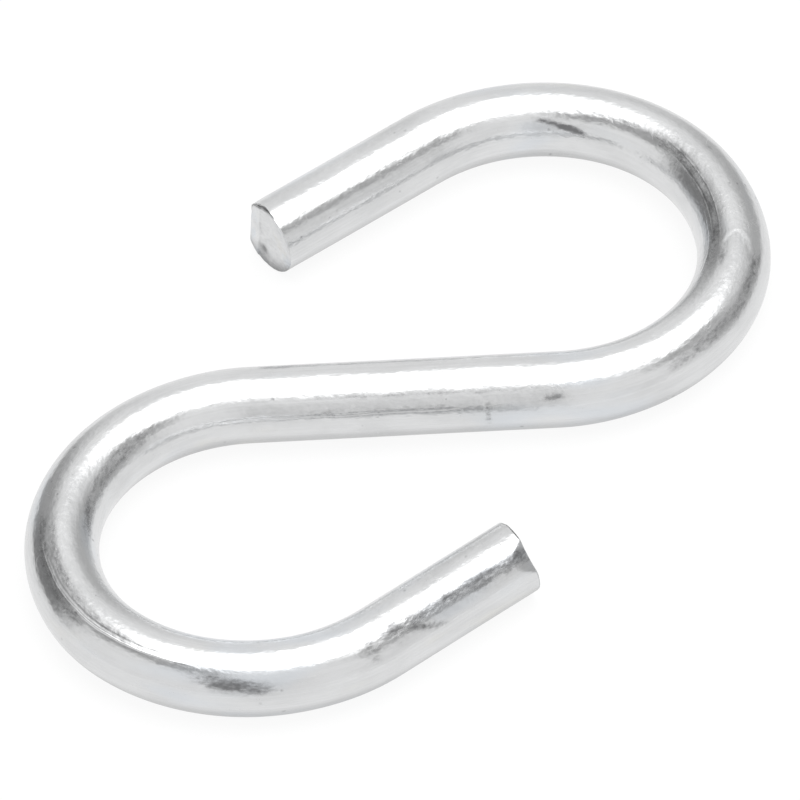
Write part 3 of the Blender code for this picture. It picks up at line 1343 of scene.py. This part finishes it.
@dataclass
class Studio:
    """A light tent round the hook: a bright overhead, grey walls with darker curtains, a glowing table.

    Attributes:
        facing: Heading of the camera's view over the table, in degrees from +X.
        overhead_tone: Brightness of the overhead light.
        overhead_lean: Which way the overhead light's middle lies, right, away and up.
        overhead_reach: Half the angle of its full brightness, and of its edge, in degrees.
        wall_tone: Brightness of the walls.
        panels: Darker and lighter panels.
        backdrop_tone: Brightness of what the camera sees past the table.
        table_size: Width of the table.
        table_tone: Colour of the table's top.
        table_glow: Brightness of the light that comes up through it.
        mirrored_tone: Brightness of the table as the hook mirrors it.
        mirrored_reach: Distances over which what the hook mirrors goes from the table to the walls.
        shade_tone: Brightness of the table close under the hook, as the hook mirrors it.
        shade_reach: Distances from the hook over which that shade lifts.
    """

    facing: float = 38.5
    overhead_tone: float = 3.0
    overhead_lean: tuple[float, float, float] = (0.125, 0.08, 1.0)
    overhead_reach: tuple[float, float] = (16.0, 37.5)
    wall_tone: float = 0.89
    panels: tuple[Panel, ...] = (
        Panel(-51.0, 0.0, 46.0, 60.0, 0.38),
        Panel(-60.0, 13.0, 24.0, 22.0, 0.22),
        Panel(62.0, -5.0, 66.0, 49.0, 0.48),
        Panel(-171.0, 15.0, 15.0, 32.0, 0.71),
        Panel(-118.0, 53.0, 54.0, 11.0, 0.38),
        Panel(-84.0, 47.0, 32.0, 13.0, 0.38),
        Panel(102.0, 41.0, 36.0, 11.0, 0.44),
        Panel(120.0, -4.0, 31.0, 15.0, 0.81),
        Panel(0.0, -64.0, 400.0, 34.0, 0.42),
    )
    backdrop_tone: float = 0.93
    table_size: float = 8.0
    table_tone: float = 0.13
    table_glow: float = 0.88
    mirrored_tone: float = 0.93
    mirrored_reach: tuple[float, float] = (0.05, 0.20)
    shade_tone: float = 0.66
    shade_reach: tuple[float, float] = (2.0 * MM, 5.0 * MM)

    def build(self) -> None:
        """Make the world and the table."""
        self.walls()
        self.table()

    def walls(self) -> None:
        """Light the scene from all round."""
        world = bpy.data.worlds.new("light_tent")
        bpy.context.scene.world = world
        world.use_nodes = True
        nodes = Nodes(world.node_tree)
        background = world.node_tree.nodes["Background"]
        look = nodes.add("ShaderNodeTexCoord").outputs["Generated"]
        turned = nodes.add("ShaderNodeVectorRotate", {"Vector": look, "Axis": (0.0, 0.0, 1.0),
                                                      "Angle": math.radians(90.0 - self.facing)},
                           rotation_type="AXIS_ANGLE").outputs[0]
        parts = nodes.add("ShaderNodeSeparateXYZ", {0: turned}).outputs
        azimuth = nodes.math("DEGREES", nodes.math("ARCTAN2", parts["X"], parts["Y"]))
        elevation = nodes.math("DEGREES", nodes.math("ARCSINE", parts["Z"]))
        tone: object = self.wall_tone
        for panel in self.panels:
            tone = self.with_panel(nodes, tone, panel, azimuth, elevation)
        middle = Vector(self.overhead_lean).normalized()
        towards = nodes.vector("DOT_PRODUCT", turned, tuple(middle), output=1)
        off_middle = nodes.math("DEGREES", nodes.math("ARCCOSINE", towards))
        inner, outer = self.overhead_reach
        lit = nodes.ramp(off_middle, outer, inner)
        tone = nodes.math("ADD", nodes.math("MULTIPLY", tone, nodes.math("SUBTRACT", 1.0, lit)),
                          nodes.math("MULTIPLY", lit, self.overhead_tone))
        seen = nodes.add("ShaderNodeLightPath").outputs["Is Camera Ray"]
        shown = nodes.mix(seen, tone, (self.backdrop_tone,) * 3 + (1.0,))
        nodes.feed(background.inputs["Color"], shown)

    @staticmethod
    def with_panel(nodes: Nodes, tone: object, panel: Panel, azimuth: bpy.types.NodeSocket,
                   elevation: bpy.types.NodeSocket) -> bpy.types.NodeSocket:
        """Return the walls' tone with one more panel in front of them.

        Args:
            nodes: Adds nodes to the world.
            tone: The tone so far.
            panel: The panel to add.
            azimuth: Azimuth of the direction looked in.
            elevation: Its elevation.
        """
        wide = nodes.turn_off(azimuth, panel.azimuth)
        high = nodes.math("ABSOLUTE", nodes.math("SUBTRACT", elevation, panel.elevation))
        inner = 1.0 - panel.softness
        across = nodes.ramp(wide, panel.half_width, panel.half_width * inner)
        up = nodes.ramp(high, panel.half_height, panel.half_height * inner)
        share = nodes.math("MULTIPLY", across, up)
        kept = nodes.math("MULTIPLY", tone, nodes.math("SUBTRACT", 1.0, share))
        return nodes.math("ADD", kept, nodes.math("MULTIPLY", share, panel.tone))

    def table(self) -> None:
        """Make the pale table, which can be seen through from below."""
        bm = bmesh.new()
        bmesh.ops.create_grid(bm, x_segments=1, y_segments=1, size=self.table_size / 2)
        mesh = bpy.data.meshes.new("table")
        bm.to_mesh(mesh)
        bm.free()
        table = bpy.data.objects.new("table", mesh)
        bpy.context.scene.collection.objects.link(table)
        mesh.materials.append(self.table_top())

    def table_top(self) -> bpy.types.Material:
        """Make the table's finish, which the hook mirrors with its own shade close to it."""
        pale = bpy.data.materials.new("pale_table")
        pale.use_nodes = True
        nodes = Nodes(pale.node_tree)
        shader = pale.node_tree.nodes["Principled BSDF"]
        shader.inputs["Base Color"].default_value = (self.table_tone,) * 3 + (1.0,)
        shader.inputs["Roughness"].default_value = 1.0
        shader.inputs["Specular IOR Level"].default_value = 0.0
        shader.inputs["Emission Color"].default_value = (1.0, 1.0, 1.0, 1.0)
        shader.inputs["Emission Strength"].default_value = self.table_glow
        ray = nodes.add("ShaderNodeLightPath").outputs
        shade = nodes.ramp(ray["Ray Length"], *self.shade_reach, self.shade_tone, self.mirrored_tone)
        place = nodes.add("ShaderNodeTexCoord").outputs["Object"]
        out = nodes.ramp(nodes.vector("LENGTH", place, output=1), *self.mirrored_reach)
        clear = nodes.add("ShaderNodeBsdfTransparent").outputs[0]
        glow = nodes.add("ShaderNodeEmission", {"Strength": shade}).outputs[0]
        mirrored = nodes.add("ShaderNodeMixShader", {0: out, 1: glow, 2: clear}).outputs[0]
        shown = nodes.add("ShaderNodeMixShader", {0: ray["Is Glossy Ray"], 1: shader.outputs[0],
                                                  2: mirrored}).outputs[0]
        under = nodes.add("ShaderNodeNewGeometry").outputs["Backfacing"]
        shown = nodes.add("ShaderNodeMixShader", {0: under, 1: shown, 2: clear}).outputs[0]
        nodes.feed(pale.node_tree.nodes["Material Output"].inputs["Surface"], shown)
        return pale


@dataclass
class ProductCamera:
    """A long lens that looks down at the hook.

    Attributes:
        heading: Heading of its view over the table, in degrees from +X.
        elevation: Its height above the horizon, in degrees.
        roll: How far it is turned round its own view, in degrees.
        distance: Its distance from what it looks at.
        view_width: Width of what it sees at that distance.
        aim: What it looks at, from the middle of the hook's box.
        sensor: Width of its sensor, in millimetres.
        sight: How far it sees.
    """

    heading: float = 38.49
    elevation: float = 45.0
    roll: float = -3.20
    distance: float = 1.7786
    view_width: float = 0.0996
    aim: Vector = field(default_factory=lambda: Vector((-0.66 * MM, -1.26 * MM, 0.0)))
    sensor: float = 36.0
    sight: float = 100.0

    def build(self) -> None:
        """Make the camera and look through it."""
        low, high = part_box(PART)
        target = (low + high) / 2 + self.aim
        level, rise = math.radians(self.heading), math.radians(self.elevation)
        back = Vector((-math.cos(level) * math.cos(rise), -math.sin(level) * math.cos(rise), math.sin(rise)))
        data = bpy.data.cameras.new("camera")
        data.sensor_width = self.sensor
        data.lens = self.sensor * self.distance / self.view_width
        data.clip_end = self.sight
        camera = bpy.data.objects.new("camera", data)
        bpy.context.scene.collection.objects.link(camera)
        camera.rotation_mode = "QUATERNION"
        rolled = Matrix.Rotation(math.radians(self.roll), 3, "Z")
        turned = (-back).to_track_quat("-Z", "Y").to_matrix() @ rolled
        camera.rotation_quaternion = turned.to_quaternion()
        camera.location = target + back * self.distance
        bpy.context.scene.camera = camera


def main() -> None:
    """Build the studio and the hook, and report each piece."""
    logging.basicConfig(level=logging.INFO, format="%(name)s: %(message)s")
    ProductCamera().build()
    Studio().build()
    bpy.context.scene.view_settings.view_transform = "Standard"
    hook = HookBar()
    bar = hook.build()
    hook.dress(bar)
    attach(bar, "root")
    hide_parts(PART)
    LOG.info("%s: %d faces, bar %.1f mm long", bar.name, len(bar.data.polygons), hook.route.length / MM)


if __name__ == "__main__":
    main()
